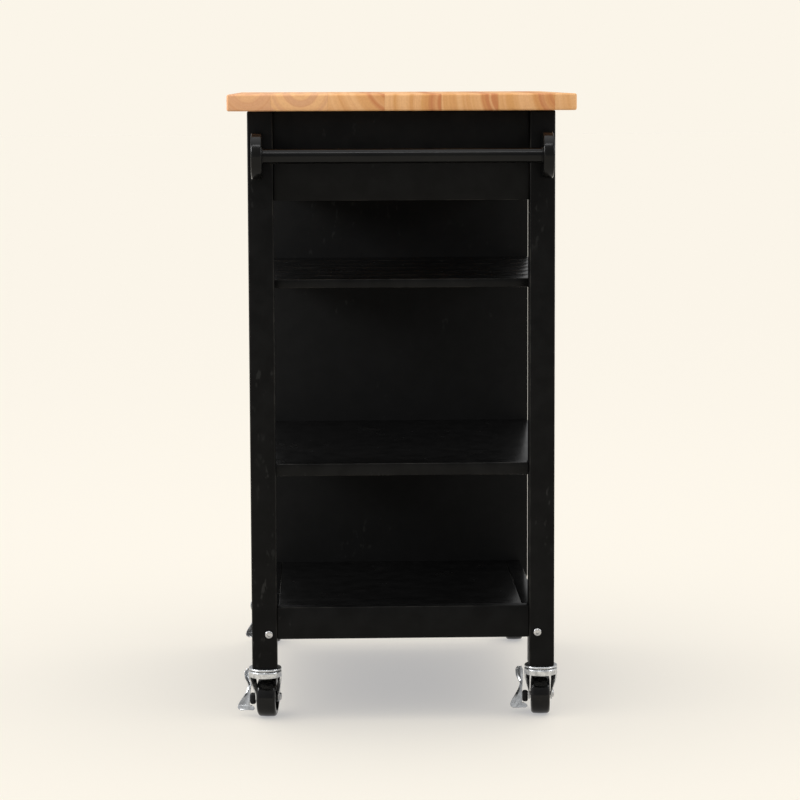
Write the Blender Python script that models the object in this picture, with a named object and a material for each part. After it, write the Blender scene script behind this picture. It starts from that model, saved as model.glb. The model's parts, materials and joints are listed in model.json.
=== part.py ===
"""Rolling butcher block table: a black post-and-rail cart with a wooden top, three shelves,
a towel bar and four swivel casters with side brakes.

Frame: metres, +Z up, the floor at Z = 0. The towel bar end faces -Y and +X is to its right.
The origin is on the floor, under the middle of the whole object.
"""
import math

import bmesh
import bpy
from mathutils import Matrix, Vector

GAP = 0.0003

# Overall
BLOCK_WIDTH = 0.502
BLOCK_THICKNESS = 0.024
BLOCK_OVERHANG = 0.0305
FRAME_WIDTH = 0.446
FRAME_LENGTH = 0.549
POST_SIZE = 0.037
POST_LENGTH = 0.820
CASTER_HEIGHT = 0.081

# Boards
BOARD = 0.018
APRON_HEIGHT = 0.130
APRON_RECESS = 0.008
RAIL_BOTTOM = 0.1255
RAIL_TOP = 0.173
SIDE_RAIL_BOTTOM = 0.1200
SIDE_RAIL_THICKNESS = 0.023
RAIL_RECESS = 0.003
PANEL_THICKNESS = 0.012
SLAT_TOP = 0.6545
SLAT_THICKNESS = 0.013
SLAT_COUNT = 6
SLAT_SPACING = 0.006
MIDDLE_SHELF_TOP = 0.384
MIDDLE_SHELF_RECESS = 0.018
BOTTOM_SHELF_TOP = 0.147
CLEAT_HEIGHT = 0.010

# Towel bar
BRACKET_REACH = 0.068
BRACKET_HEIGHT = 0.067
BRACKET_WIDTH = 0.0155
BRACKET_X = 0.2085
BAR_Z = 0.837
BAR_REACH = 0.038
BAR_RADIUS = 0.011
SOCKET_DEPTH = 0.006

# Rail bolts
BOLT_Z = 0.1335
BOLT_RADIUS = 0.003
BOLT_BITE = 0.022
BOLT_HEAD_RADIUS = 0.0058
BOLT_HEAD_HEIGHT = 0.0035

# Casters, measured from the floor under the swivel axis, with the wheel trailing towards +Y
WHEEL_RADIUS = 0.030
WHEEL_WIDTH = 0.028
WHEEL_TRAIL = 0.028
RACE_RADIUS = 0.0245
RACE_BOTTOM = 0.0775
CROWN_TOP = 0.0767
CROWN_BOTTOM = 0.068
SHEET = 0.0022
STEM_RADIUS = 0.004
STEM_LENGTH = 0.030
KINGPIN_RADIUS = 0.005
AXLE_RADIUS = 0.003
LEG_TOP_CENTRE = 0.0076
LEG_TOP_HALF = 0.0097
LEG_END_RADIUS = 0.0085
LEG_END_X = 0.0178
CAM_INNER_X = 0.0184
CAM_OUTER_X = 0.0268
REST_YAW = {
    "front_left": math.radians(-7.0),
    "front_right": math.radians(-3.5),
    "rear_left": 0.0,
    "rear_right": 0.0,
}

# Derived places
CASTER_REACH = WHEEL_TRAIL + WHEEL_RADIUS - POST_SIZE / 2
TOTAL_LENGTH = BRACKET_REACH + FRAME_LENGTH + CASTER_REACH
FRONT_Y = BRACKET_REACH - TOTAL_LENGTH / 2
REAR_Y = FRONT_Y + FRAME_LENGTH
OUTER_X = FRAME_WIDTH / 2
INNER_X = OUTER_X - POST_SIZE
POST_X = OUTER_X - POST_SIZE / 2
FRAME_TOP = CASTER_HEIGHT + POST_LENGTH
PANEL_Y = REAR_Y - POST_SIZE - PANEL_THICKNESS
SIDE_X = INNER_X + 0.0005 + BOARD / 2
SIDE_RAIL_X = INNER_X + 0.0005 + SIDE_RAIL_THICKNESS / 2
SIDES = {"left": -1, "right": 1}
ENDS = {"front": FRONT_Y, "rear": REAR_Y}
CORNERS = [(end, side) for end in ENDS for side in SIDES]


def clear_scene():
    """Remove every object, so that only the table is left."""
    for obj in list(bpy.data.objects):
        bpy.data.objects.remove(obj, do_unlink=True)


def make_material(name, colour, roughness, metallic):
    """A Principled BSDF material."""
    material = bpy.data.materials.new(name)
    material.use_nodes = True
    shader = material.node_tree.nodes["Principled BSDF"]
    shader.inputs["Base Color"].default_value = (*colour, 1.0)
    shader.inputs["Roughness"].default_value = roughness
    shader.inputs["Metallic"].default_value = metallic
    material.diffuse_color = (*colour, 1.0)
    return material


FINISHES = {
    "maple": ((0.62, 0.34, 0.15), 0.45, 0.0),
    "black_paint": ((0.008, 0.008, 0.007), 0.42, 0.0),
    "black_bar": ((0.008, 0.008, 0.008), 0.35, 0.0),
    "zinc": ((0.62, 0.63, 0.64), 0.32, 1.0),
    "steel": ((0.55, 0.55, 0.55), 0.30, 1.0),
    "black_tyre": ((0.012, 0.012, 0.011), 0.30, 0.0),
    "black_plastic": ((0.010, 0.010, 0.011), 0.50, 0.0),
}


def add_object(name, mesh, finish, parent=None, matrix=None):
    """Link one named node with its own material slot."""
    obj = bpy.data.objects.new(name, mesh)
    bpy.context.scene.collection.objects.link(obj)
    material = make_material(name, *FINISHES[finish])
    mesh.materials.clear()
    mesh.materials.append(material)
    if parent is not None:
        obj.parent = parent
    if matrix is not None:
        obj.matrix_local = matrix
    return obj


def mesh_from(bm, name, smooth_angle=None):
    """Turn a bmesh into a mesh whose faces point out."""
    bmesh.ops.recalc_face_normals(bm, faces=bm.faces)
    mesh = bpy.data.meshes.new(name)
    bm.to_mesh(mesh)
    bm.free()
    if smooth_angle is not None:
        mesh.shade_smooth()
        mesh.set_sharp_from_angle(angle=smooth_angle)
    return mesh


def box_mesh(name, low, high, round_over=0.0, segments=1):
    """A board between two corners, with its edges rounded over."""
    bm = bmesh.new()
    bmesh.ops.create_cube(bm, size=1.0)
    centre = (Vector(low) + Vector(high)) / 2
    size = Vector(high) - Vector(low)
    bmesh.ops.transform(bm, matrix=Matrix.Translation(centre) @ Matrix.Diagonal((*size, 1.0)), verts=bm.verts)
    if round_over > 0.0:
        bmesh.ops.bevel(
            bm, geom=bm.edges[:], offset=round_over, segments=segments, profile=0.5, affect="EDGES"
        )
    return mesh_from(bm, name)


def add_board(name, low, high, finish, round_over=0.001, segments=1):
    """A board as a node."""
    return add_object(name, box_mesh(name, low, high, round_over, segments), finish)


def turned_mesh(name, profile, sides, axis="Z", smooth_angle=math.radians(35)):
    """Turn a closed (radius, along) outline round an axis; points at radius 0 lie on the axis."""
    bm = bmesh.new()
    rings = []
    for radius, along in profile:
        if radius == 0.0:
            rings.append([bm.verts.new((0.0, 0.0, along))])
            continue
        ring = []
        for index in range(sides):
            angle = 2 * math.pi * index / sides
            ring.append(bm.verts.new((radius * math.cos(angle), radius * math.sin(angle), along)))
        rings.append(ring)
    closed = profile[0][0] > 0.0
    pairs = list(zip(rings, rings[1:]))
    if closed:
        pairs.append((rings[-1], rings[0]))
    for upper, lower in pairs:
        for index in range(sides):
            following = (index + 1) % sides
            if len(upper) == 1:
                bm.faces.new((upper[0], lower[index], lower[following]))
            elif len(lower) == 1:
                bm.faces.new((upper[index], lower[0], upper[following]))
            else:
                bm.faces.new((upper[index], lower[index], lower[following], upper[following]))
    if axis == "X":
        bmesh.ops.rotate(bm, matrix=Matrix.Rotation(math.pi / 2, 3, "Y"), verts=bm.verts)
    elif axis == "Y":
        bmesh.ops.rotate(bm, matrix=Matrix.Rotation(-math.pi / 2, 3, "X"), verts=bm.verts)
    return mesh_from(bm, name, smooth_angle)


def prism_mesh(name, outline, start, length, axis, round_over=0.0, segments=1):
    """Push a flat outline of (first, second) points along an axis."""
    order = {
        "X": lambda a, b, c: (c, a, b),
        "Y": lambda a, b, c: (a, c, b),
        "Z": lambda a, b, c: (a, b, c),
    }[axis]
    bm = bmesh.new()
    base = bm.faces.new([bm.verts.new(order(a, b, start)) for a, b in outline])
    sweep = bmesh.ops.extrude_face_region(bm, geom=[base])
    moved = [item for item in sweep["geom"] if isinstance(item, bmesh.types.BMVert)]
    bmesh.ops.translate(bm, vec=Vector(order(0.0, 0.0, length)), verts=moved)
    if round_over > 0.0:
        rims = [
            edge for edge in bm.edges
            if abs(Vector(order(0.0, 0.0, 1.0)).dot(edge.verts[0].co - edge.verts[1].co)) < 1e-7
        ]
        bmesh.ops.bevel(bm, geom=rims, offset=round_over, segments=segments, profile=0.5, affect="EDGES")
    return mesh_from(bm, name, math.radians(35))


def arc(centre, radius, start, end, steps):
    """Points on an arc, from one angle to another, both included."""
    points = []
    for index in range(steps + 1):
        angle = start + (end - start) * index / steps
        points.append((centre[0] + radius * math.cos(angle), centre[1] + radius * math.sin(angle)))
    return points


def combine(name, base, others):
    """Join or cut a mesh with others, given as (operation, mesh, matrix), and return the result."""
    scene = bpy.context.scene
    target = bpy.data.objects.new(name + "_blank", base)
    scene.collection.objects.link(target)
    tools = []
    for index, (operation, mesh, matrix) in enumerate(others):
        tool = bpy.data.objects.new(f"{name}_tool_{index}", mesh)
        scene.collection.objects.link(tool)
        tool.matrix_world = matrix
        tool.hide_render = True
        tool.display_type = "WIRE"
        tools.append(tool)
        modifier = target.modifiers.new(f"tool_{index}", "BOOLEAN")
        modifier.operation = operation
        modifier.solver = "EXACT"
        modifier.object = tool
    bpy.context.view_layer.update()
    finished = target.evaluated_get(bpy.context.evaluated_depsgraph_get())
    mesh = bpy.data.meshes.new_from_object(finished)
    mesh.name = name
    for obj in [target] + tools:
        bpy.data.objects.remove(obj, do_unlink=True)
    return mesh


def peg_mesh(radius, length, axis, sides=12):
    """A plain round peg from the origin along an axis, used as a cutter."""
    return turned_mesh("peg", [(0.0, 0.0), (radius, 0.0), (radius, length), (0.0, length)], sides, axis)


def build_block():
    """The wooden top: rounded edges all round."""
    low = (-BLOCK_WIDTH / 2, FRONT_Y - BLOCK_OVERHANG, FRAME_TOP)
    high = (BLOCK_WIDTH / 2, REAR_Y + BLOCK_OVERHANG, FRAME_TOP + BLOCK_THICKNESS)
    add_board("block_top", low, high, "maple", round_over=0.0028, segments=3)


def build_posts():
    """Four posts, each bored for its caster stem and its rail bolt."""
    stem_cutter = peg_mesh(STEM_RADIUS + GAP, STEM_LENGTH + 0.012, "Z")
    bolt_cutter = peg_mesh(BOLT_RADIUS + GAP, POST_SIZE + 0.02, "Y")
    for end, side in CORNERS:
        sign = SIDES[side]
        post_y = corner_y(end)
        name = f"post_{end}_{side}"
        half = POST_SIZE / 2
        blank = box_mesh(
            name,
            (sign * POST_X - half, post_y - half, CASTER_HEIGHT + GAP),
            (sign * POST_X + half, post_y + half, FRAME_TOP - GAP),
            0.002,
            2,
        )
        cuts = [
            ("DIFFERENCE", stem_cutter, Matrix.Translation((sign * POST_X, post_y, CASTER_HEIGHT - 0.010))),
            ("DIFFERENCE", bolt_cutter, Matrix.Translation((sign * SIDE_RAIL_X, post_y - half - 0.01, BOLT_Z))),
        ]
        add_object(name, combine(name, blank, cuts), "black_paint")


def corner_y(end):
    """Y of a post's middle."""
    if end == "front":
        return FRONT_Y + POST_SIZE / 2
    return REAR_Y - POST_SIZE / 2


def build_aprons_and_rails():
    """Boards between the posts: aprons under the block, rails round the bottom shelf."""
    levels = {
        "apron": (FRAME_TOP - APRON_HEIGHT, FRAME_TOP - GAP, APRON_RECESS),
        "rail": (RAIL_BOTTOM, RAIL_TOP, RAIL_RECESS),
    }
    reach = INNER_X - GAP
    for kind, (bottom, top, recess) in levels.items():
        near = FRONT_Y + recess
        far = REAR_Y - recess
        add_board(f"end_{kind}_front", (-reach, near, bottom), (reach, near + BOARD, top), "black_paint")
        add_board(f"end_{kind}_rear", (-reach, far - BOARD, bottom), (reach, far, top), "black_paint")
        for side, sign in SIDES.items():
            name = f"side_{kind}_{side}"
            if kind == "rail":
                add_side_rail(name, sign)
                continue
            low = (sign * SIDE_X - BOARD / 2, FRONT_Y + POST_SIZE + GAP, bottom)
            high = (sign * SIDE_X + BOARD / 2, PANEL_Y - GAP, top)
            add_board(name, low, high, "black_paint")


def add_side_rail(name, sign):
    """A side rail level with the bottom shelf, bored at both ends for the rail bolts."""
    half = SIDE_RAIL_THICKNESS / 2
    low = (sign * SIDE_RAIL_X - half, FRONT_Y + POST_SIZE + GAP, SIDE_RAIL_BOTTOM)
    high = (sign * SIDE_RAIL_X + half, PANEL_Y - GAP, BOTTOM_SHELF_TOP)
    depth = BOLT_BITE + 0.012
    cutter = peg_mesh(BOLT_RADIUS + GAP, depth, "Y")
    front_end = FRONT_Y + POST_SIZE - 0.01
    rear_end = PANEL_Y + 0.01 - depth
    mesh = combine(name, box_mesh(name, low, high, 0.001), [
        ("DIFFERENCE", cutter, Matrix.Translation((sign * SIDE_RAIL_X, front_end, BOLT_Z))),
        ("DIFFERENCE", cutter, Matrix.Translation((sign * SIDE_RAIL_X, rear_end, BOLT_Z))),
    ])
    add_object(name, mesh, "black_paint")


def build_back_panel():
    """The panel in front of the rear posts, bored for the rear rail bolts."""
    low = (-OUTER_X + GAP, PANEL_Y, SIDE_RAIL_BOTTOM)
    high = (OUTER_X - GAP, PANEL_Y + PANEL_THICKNESS - GAP, FRAME_TOP - GAP)
    cutter = peg_mesh(BOLT_RADIUS + GAP, PANEL_THICKNESS + 0.02, "Y")
    cuts = [
        ("DIFFERENCE", cutter, Matrix.Translation((sign * SIDE_RAIL_X, PANEL_Y - 0.01, BOLT_Z)))
        for sign in SIDES.values()
    ]
    mesh = combine("back_panel", box_mesh("back_panel", low, high, 0.001), cuts)
    add_object("back_panel", mesh, "black_paint")


def build_slatted_shelf():
    """Six slats across the frame, behind the front posts."""
    start = FRONT_Y + POST_SIZE + GAP
    span = PANEL_Y - GAP - start
    slat = (span - (SLAT_COUNT - 1) * SLAT_SPACING) / SLAT_COUNT
    for index in range(SLAT_COUNT):
        near = start + index * (slat + SLAT_SPACING)
        low = (-OUTER_X + GAP, near, SLAT_TOP - SLAT_THICKNESS)
        high = (OUTER_X - GAP, near + slat, SLAT_TOP)
        add_board(f"shelf_slat_{index + 1}", low, high, "black_paint", 0.0012, 2)
    add_cleats("slat_cleat", SLAT_TOP - SLAT_THICKNESS - GAP)


def add_cleats(stem, top):
    """A cleat on each side, under a shelf."""
    for side, sign in SIDES.items():
        low = (sign * POST_X - BOARD / 2, FRONT_Y + POST_SIZE + GAP, top - CLEAT_HEIGHT)
        high = (sign * POST_X + BOARD / 2, PANEL_Y - GAP, top)
        add_board(f"{stem}_{side}", low, high, "black_paint")


def build_middle_shelf():
    """A board notched round the front posts."""
    wide = OUTER_X - GAP
    narrow = INNER_X - GAP
    front = FRONT_Y + MIDDLE_SHELF_RECESS
    shoulder = FRONT_Y + POST_SIZE + GAP
    back = PANEL_Y - GAP
    outline = [
        (-narrow, front), (narrow, front), (narrow, shoulder), (wide, shoulder),
        (wide, back), (-wide, back), (-wide, shoulder), (-narrow, shoulder),
    ]
    mesh = prism_mesh("middle_shelf", outline, MIDDLE_SHELF_TOP - BOARD, BOARD, "Z", 0.0012)
    add_object("middle_shelf", mesh, "black_paint")
    add_cleats("middle_cleat", MIDDLE_SHELF_TOP - BOARD - GAP)


def build_bottom_shelf():
    """A board let in between the four rails."""
    reach = INNER_X - GAP
    low = (-reach, FRONT_Y + RAIL_RECESS + BOARD + GAP, BOTTOM_SHELF_TOP - BOARD)
    high = (reach, PANEL_Y - GAP, BOTTOM_SHELF_TOP)
    add_board("bottom_shelf", low, high, "black_paint")


def build_towel_bar():
    """A round bar held in the blind sockets of two D-shaped brackets."""
    bar_y = FRONT_Y - BAR_REACH
    inner = BRACKET_X - BRACKET_WIDTH / 2
    half_bar = inner + SOCKET_DEPTH - GAP
    profile = [
        (0.0, -half_bar), (BAR_RADIUS - 0.0008, -half_bar), (BAR_RADIUS, 0.0008 - half_bar),
        (BAR_RADIUS, half_bar - 0.0008), (BAR_RADIUS - 0.0008, half_bar), (0.0, half_bar),
    ]
    bar = turned_mesh("towel_bar", profile, 24, "X")
    add_object("towel_bar", bar, "black_bar", matrix=Matrix.Translation((0.0, bar_y, BAR_Z)))
    nose = BRACKET_HEIGHT / 2
    nose_y = FRONT_Y - BRACKET_REACH + nose
    outline = [(FRONT_Y - GAP, BAR_Z + nose)]
    outline += arc((nose_y, BAR_Z), nose, math.pi / 2, 3 * math.pi / 2, 14)
    outline += [(FRONT_Y - GAP, BAR_Z - nose)]
    cutter = peg_mesh(BAR_RADIUS + 2 * GAP, SOCKET_DEPTH + 0.010, "X", 24)
    for side, sign in SIDES.items():
        name = f"towel_bar_bracket_{side}"
        start = sign * BRACKET_X - BRACKET_WIDTH / 2
        blank = prism_mesh(name, outline, start, BRACKET_WIDTH, "X", 0.0022, 2)
        if sign > 0:
            socket = Matrix.Translation((inner - 0.010, bar_y, BAR_Z))
        else:
            socket = Matrix.Translation((-inner - SOCKET_DEPTH, bar_y, BAR_Z))
        add_object(name, combine(name, blank, [("DIFFERENCE", cutter, socket)]), "black_bar")


def build_rail_bolts():
    """Bolts through the posts into the side rails, with a hexagon socket in each head."""
    front_shank = POST_SIZE + BOLT_BITE
    rear_shank = POST_SIZE + PANEL_THICKNESS + BOLT_BITE
    for end, shank in (("front", front_shank), ("rear", rear_shank)):
        profile = [
            (0.0, 0.0014 - BOLT_HEAD_HEIGHT), (0.0025, 0.0014 - BOLT_HEAD_HEIGHT),
            (0.0028, 0.0001 - BOLT_HEAD_HEIGHT), (0.0032, -BOLT_HEAD_HEIGHT),
            (0.0046, 0.0007 - BOLT_HEAD_HEIGHT), (BOLT_HEAD_RADIUS, -0.0012),
            (BOLT_HEAD_RADIUS, -GAP), (BOLT_RADIUS, -GAP), (BOLT_RADIUS, shank), (0.0, shank),
        ]
        for side, sign in SIDES.items():
            name = f"rail_bolt_{end}_{side}"
            place = Matrix.Translation((sign * SIDE_RAIL_X, ENDS[end], BOLT_Z))
            if end == "rear":
                place = place @ Matrix.Rotation(math.pi, 4, "Z")
            add_object(name, turned_mesh(name, profile, 12, "Y"), "steel", matrix=place)


def caster_mount_mesh():
    """Race disc with the stem above it and the riveted kingpin below."""
    profile = [
        (0.0, CASTER_HEIGHT + STEM_LENGTH), (STEM_RADIUS, CASTER_HEIGHT + STEM_LENGTH),
        (STEM_RADIUS, CASTER_HEIGHT), (RACE_RADIUS - 0.0008, CASTER_HEIGHT),
        (RACE_RADIUS, CASTER_HEIGHT - 0.0008), (RACE_RADIUS, RACE_BOTTOM),
        (KINGPIN_RADIUS, RACE_BOTTOM), (KINGPIN_RADIUS, CROWN_TOP - SHEET - GAP),
        (0.0085, CROWN_TOP - SHEET - GAP), (0.0060, 0.0708), (0.0, 0.0704),
    ]
    return turned_mesh("caster_mount", profile, 20, "Z")


def fork_leg_mesh(sign):
    """One leg: the crown's round wall carried down and in to a flat eye round the axle."""
    rows = []
    steps = 5
    top = CROWN_BOTTOM + 0.004
    for index in range(steps + 1):
        part = index / steps
        eased = part * part * (3 - 2 * part)
        middle = LEG_TOP_CENTRE + (WHEEL_TRAIL - LEG_TOP_CENTRE) * eased
        half = LEG_TOP_HALF + (LEG_END_RADIUS - LEG_TOP_HALF) * eased
        rows.append((top + (WHEEL_RADIUS - top) * part, middle, half, eased))
    for degrees in (40, 72):
        angle = math.radians(degrees)
        drop = LEG_END_RADIUS * math.sin(angle)
        rows.append((WHEEL_RADIUS - drop, WHEEL_TRAIL, LEG_END_RADIUS * math.cos(angle), 1.0))
    columns = 6
    skin_radius = RACE_RADIUS - 0.0003
    bm = bmesh.new()
    outer = []
    inner = []
    for height, middle, half, flat in rows:
        outer_row = []
        inner_row = []
        for column in range(columns + 1):
            along = middle + half * (2 * column / columns - 1)
            round_x = math.sqrt(max(skin_radius ** 2 - min(abs(along), LEG_TOP_CENTRE + LEG_TOP_HALF) ** 2, 0.0))
            across = round_x + (LEG_END_X - round_x) * flat
            outer_row.append(bm.verts.new((sign * across, along, height)))
            inner_row.append(bm.verts.new((sign * (across - SHEET), along, height)))
        outer.append(outer_row)
        inner.append(inner_row)
    last = len(rows) - 1
    for row in range(last):
        for column in range(columns):
            for skin in (outer, inner):
                bm.faces.new((
                    skin[row][column], skin[row][column + 1], skin[row + 1][column + 1], skin[row + 1][column]
                ))
        for edge in (0, columns):
            bm.faces.new((outer[row][edge], inner[row][edge], inner[row + 1][edge], outer[row + 1][edge]))
    for row in (0, last):
        for column in range(columns):
            bm.faces.new((
                outer[row][column], outer[row][column + 1], inner[row][column + 1], inner[row][column]
            ))
    return mesh_from(bm, "fork_leg")


def caster_fork_mesh():
    """Pressed crown with two legs, bored for the kingpin and the axle."""
    wall = RACE_RADIUS - SHEET
    profile = [
        (KINGPIN_RADIUS + GAP, CROWN_TOP), (RACE_RADIUS - 0.0012, CROWN_TOP),
        (RACE_RADIUS, CROWN_TOP - 0.0012), (RACE_RADIUS, CROWN_BOTTOM), (wall, CROWN_BOTTOM),
        (wall, CROWN_TOP - SHEET), (KINGPIN_RADIUS + GAP, CROWN_TOP - SHEET),
    ]
    crown = turned_mesh("crown", profile, 20, "Z")
    bore = peg_mesh(AXLE_RADIUS + GAP, 0.06, "X")
    mesh = combine("caster_fork", crown, [
        ("UNION", fork_leg_mesh(-1), Matrix.Identity(4)),
        ("UNION", fork_leg_mesh(1), Matrix.Identity(4)),
        ("DIFFERENCE", bore, Matrix.Translation((-0.03, WHEEL_TRAIL, WHEEL_RADIUS))),
    ])
    mesh.shade_smooth()
    mesh.set_sharp_from_angle(angle=math.radians(35))
    return mesh


def caster_axle_mesh():
    """Axle along X about the origin: a head on the right, the plain end inside the brake cam."""
    left = -CAM_OUTER_X + 0.0025
    right = LEG_END_X + GAP
    profile = [
        (0.0, left), (AXLE_RADIUS - 0.0005, left), (AXLE_RADIUS, left + 0.0005), (AXLE_RADIUS, right),
        (0.0056, right), (0.0056, right + 0.0016), (0.0040, right + 0.0026), (0.0, right + 0.0028),
    ]
    return turned_mesh("caster_axle", profile, 12, "X")


def caster_wheel_mesh():
    """Wheel about its own axle along X: round shoulders, dished sides and a bored hub."""
    half = WHEEL_WIDTH / 2
    shoulder = 0.0048
    right_half = [(AXLE_RADIUS + GAP, half + 0.0008), (0.0080, half + 0.0008), (0.0088, half - 0.0030)]
    right_half += [(0.0205, half - 0.0030)]
    right_half += [
        (WHEEL_RADIUS - shoulder + shoulder * math.sin(angle), half - shoulder + shoulder * math.cos(angle))
        for angle in (math.radians(step) for step in (0, 30, 60, 90))
    ]
    left_half = [(radius, -along) for radius, along in reversed(right_half)]
    return turned_mesh("caster_wheel", right_half + left_half, 24, "X", math.radians(40))


def brake_cam_mesh():
    """Moulded cam round the axle end, with a lobe hanging down towards the pedal."""
    outline = arc((0.0, 0.0), 0.0048, 0.0, math.pi, 6)
    outline += arc((0.0, -0.0062), 0.0064, math.pi, 2 * math.pi, 6)
    blank = prism_mesh("brake_cam", outline, -CAM_OUTER_X, CAM_OUTER_X - CAM_INNER_X, "X", 0.0010)
    bore = peg_mesh(AXLE_RADIUS + GAP, CAM_OUTER_X, "X")
    return combine("brake_cam", blank, [
        ("DIFFERENCE", bore, Matrix.Translation((-CAM_OUTER_X + 0.0020, 0.0, 0.0))),
    ])


def brake_lever_mesh():
    """Pressed rocker: a release ear at the top, a waist, and a pedal at the bottom."""
    inner_edge = -CAM_OUTER_X - GAP
    half_sheet = 0.0009
    lean = 0.42
    stations = [
        (0.0375, -0.0300, -0.0290), (0.0360, -0.0345, -0.0268), (0.0320, -0.0372, -0.0257),
        (0.0260, -0.0364, -0.0257), (0.0190, -0.0322, -0.0260), (0.0140, -0.0302, -0.0264),
        (0.0080, -0.0316, inner_edge), (0.0000, -0.0366, inner_edge), (-0.0080, -0.0420, inner_edge),
        (-0.0130, -0.0448, inner_edge), (-0.0136, -0.0449, -0.0222), (-0.0160, -0.0450, -0.0192),
        (-0.0185, -0.0438, -0.0190), (-0.0202, -0.0405, -0.0212),
    ]
    columns = 2
    bm = bmesh.new()
    front = []
    back = []
    for height, outer_x, inner_x in stations:
        front_row = []
        back_row = []
        for column in range(columns + 1):
            across = inner_x + (outer_x - inner_x) * column / columns
            along = lean * height - 0.0022 * (column / columns) ** 2
            front_row.append(bm.verts.new((across, along - half_sheet, height)))
            back_row.append(bm.verts.new((across, along + half_sheet, height)))
        front.append(front_row)
        back.append(back_row)
    last = len(stations) - 1
    for row in range(last):
        for column in range(columns):
            for skin in (front, back):
                bm.faces.new((
                    skin[row][column], skin[row][column + 1], skin[row + 1][column + 1], skin[row + 1][column]
                ))
        for edge in (0, columns):
            bm.faces.new((front[row][edge], back[row][edge], back[row + 1][edge], front[row + 1][edge]))
    for row in (0, last):
        for column in range(columns):
            bm.faces.new((front[row][column], front[row][column + 1], back[row][column + 1], back[row][column]))
    plate = mesh_from(bm, "brake_lever")
    web_outline = arc((0.0, 0.0), 0.0075, math.radians(160), math.radians(380), 7)
    web_outline += arc((0.0068, 0.0170), 0.0040, math.radians(0), math.radians(150), 3)
    web = prism_mesh("lever_web", web_outline, inner_edge - 0.0018, 0.0017, "X")
    return combine("brake_lever", plate, [("UNION", web, Matrix.Identity(4))])


def add_empty(name, location, yaw, parent=None):
    """An empty that marks a joint's axis."""
    empty = bpy.data.objects.new(name, None)
    bpy.context.scene.collection.objects.link(empty)
    empty.parent = parent
    empty.location = location
    empty.rotation_euler = (0.0, 0.0, yaw)
    return empty


def build_casters():
    """Four casters: the fork turns about the post's axis, wheel and brake about the axle."""
    mount = caster_mount_mesh()
    fork = caster_fork_mesh()
    axle = caster_axle_mesh()
    wheel = caster_wheel_mesh()
    cam = brake_cam_mesh()
    lever = brake_lever_mesh()
    lifted = Matrix.Identity(4)
    for end, side in CORNERS:
        corner = f"{end}_{side}"
        place = (SIDES[side] * POST_X, corner_y(end), 0.0)
        swivel = add_empty(f"swivel_axis_{corner}", place, REST_YAW[corner])
        axis = add_empty(f"wheel_axis_{corner}", (0.0, WHEEL_TRAIL, WHEEL_RADIUS), 0.0, swivel)
        add_object(f"caster_mount_{corner}", mount.copy(), "zinc", matrix=Matrix.Translation(place))
        add_object(f"caster_fork_{corner}", fork.copy(), "zinc", swivel, lifted)
        add_object(f"caster_axle_{corner}", axle.copy(), "steel", axis, lifted)
        add_object(f"caster_wheel_{corner}", wheel.copy(), "black_tyre", axis, lifted)
        add_object(f"brake_cam_{corner}", cam.copy(), "black_plastic", axis, lifted)
        add_object(f"brake_lever_{corner}", lever.copy(), "zinc", axis, lifted)


def main():
    """Build the whole table."""
    clear_scene()
    build_block()
    build_posts()
    build_aprons_and_rails()
    build_back_panel()
    build_slatted_shelf()
    build_middle_shelf()
    build_bottom_shelf()
    build_towel_bar()
    build_rail_bolts()
    build_casters()


main()
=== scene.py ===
"""Looks of the rolling butcher block table: wood, satin paint, zinc and gloss black, on a pale floor."""

import json
import math

import bmesh
import bpy
from mathutils import Matrix, Vector


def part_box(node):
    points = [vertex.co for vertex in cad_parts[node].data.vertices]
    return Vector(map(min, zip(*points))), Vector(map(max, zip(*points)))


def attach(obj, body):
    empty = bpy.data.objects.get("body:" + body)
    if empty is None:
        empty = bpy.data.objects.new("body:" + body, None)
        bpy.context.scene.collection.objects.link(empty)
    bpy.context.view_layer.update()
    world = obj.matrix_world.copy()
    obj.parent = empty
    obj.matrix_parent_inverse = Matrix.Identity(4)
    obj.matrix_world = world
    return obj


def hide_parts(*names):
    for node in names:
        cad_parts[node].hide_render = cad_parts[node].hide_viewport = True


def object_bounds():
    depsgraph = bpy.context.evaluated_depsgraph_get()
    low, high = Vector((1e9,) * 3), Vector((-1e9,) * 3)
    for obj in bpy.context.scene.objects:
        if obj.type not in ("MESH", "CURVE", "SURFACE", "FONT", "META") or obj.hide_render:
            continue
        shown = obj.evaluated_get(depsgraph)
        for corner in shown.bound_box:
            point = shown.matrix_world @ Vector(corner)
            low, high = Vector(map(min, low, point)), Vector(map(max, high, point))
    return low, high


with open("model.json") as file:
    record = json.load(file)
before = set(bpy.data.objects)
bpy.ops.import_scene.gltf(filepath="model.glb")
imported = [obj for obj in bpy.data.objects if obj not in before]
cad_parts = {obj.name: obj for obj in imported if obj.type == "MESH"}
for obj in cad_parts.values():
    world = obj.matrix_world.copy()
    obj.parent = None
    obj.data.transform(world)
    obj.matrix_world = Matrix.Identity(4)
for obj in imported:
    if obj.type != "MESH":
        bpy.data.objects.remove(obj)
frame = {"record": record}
cad_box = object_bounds()

SIDES = {"left": -1, "right": 1}
CORNERS = [f"{end}_{side}" for end in ("front", "rear") for side in SIDES]
JOINTS = {joint["name"]: joint for joint in frame["record"]["behaviour"]["joints"]}


# ---------------------------------------------------------------- node helpers

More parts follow.
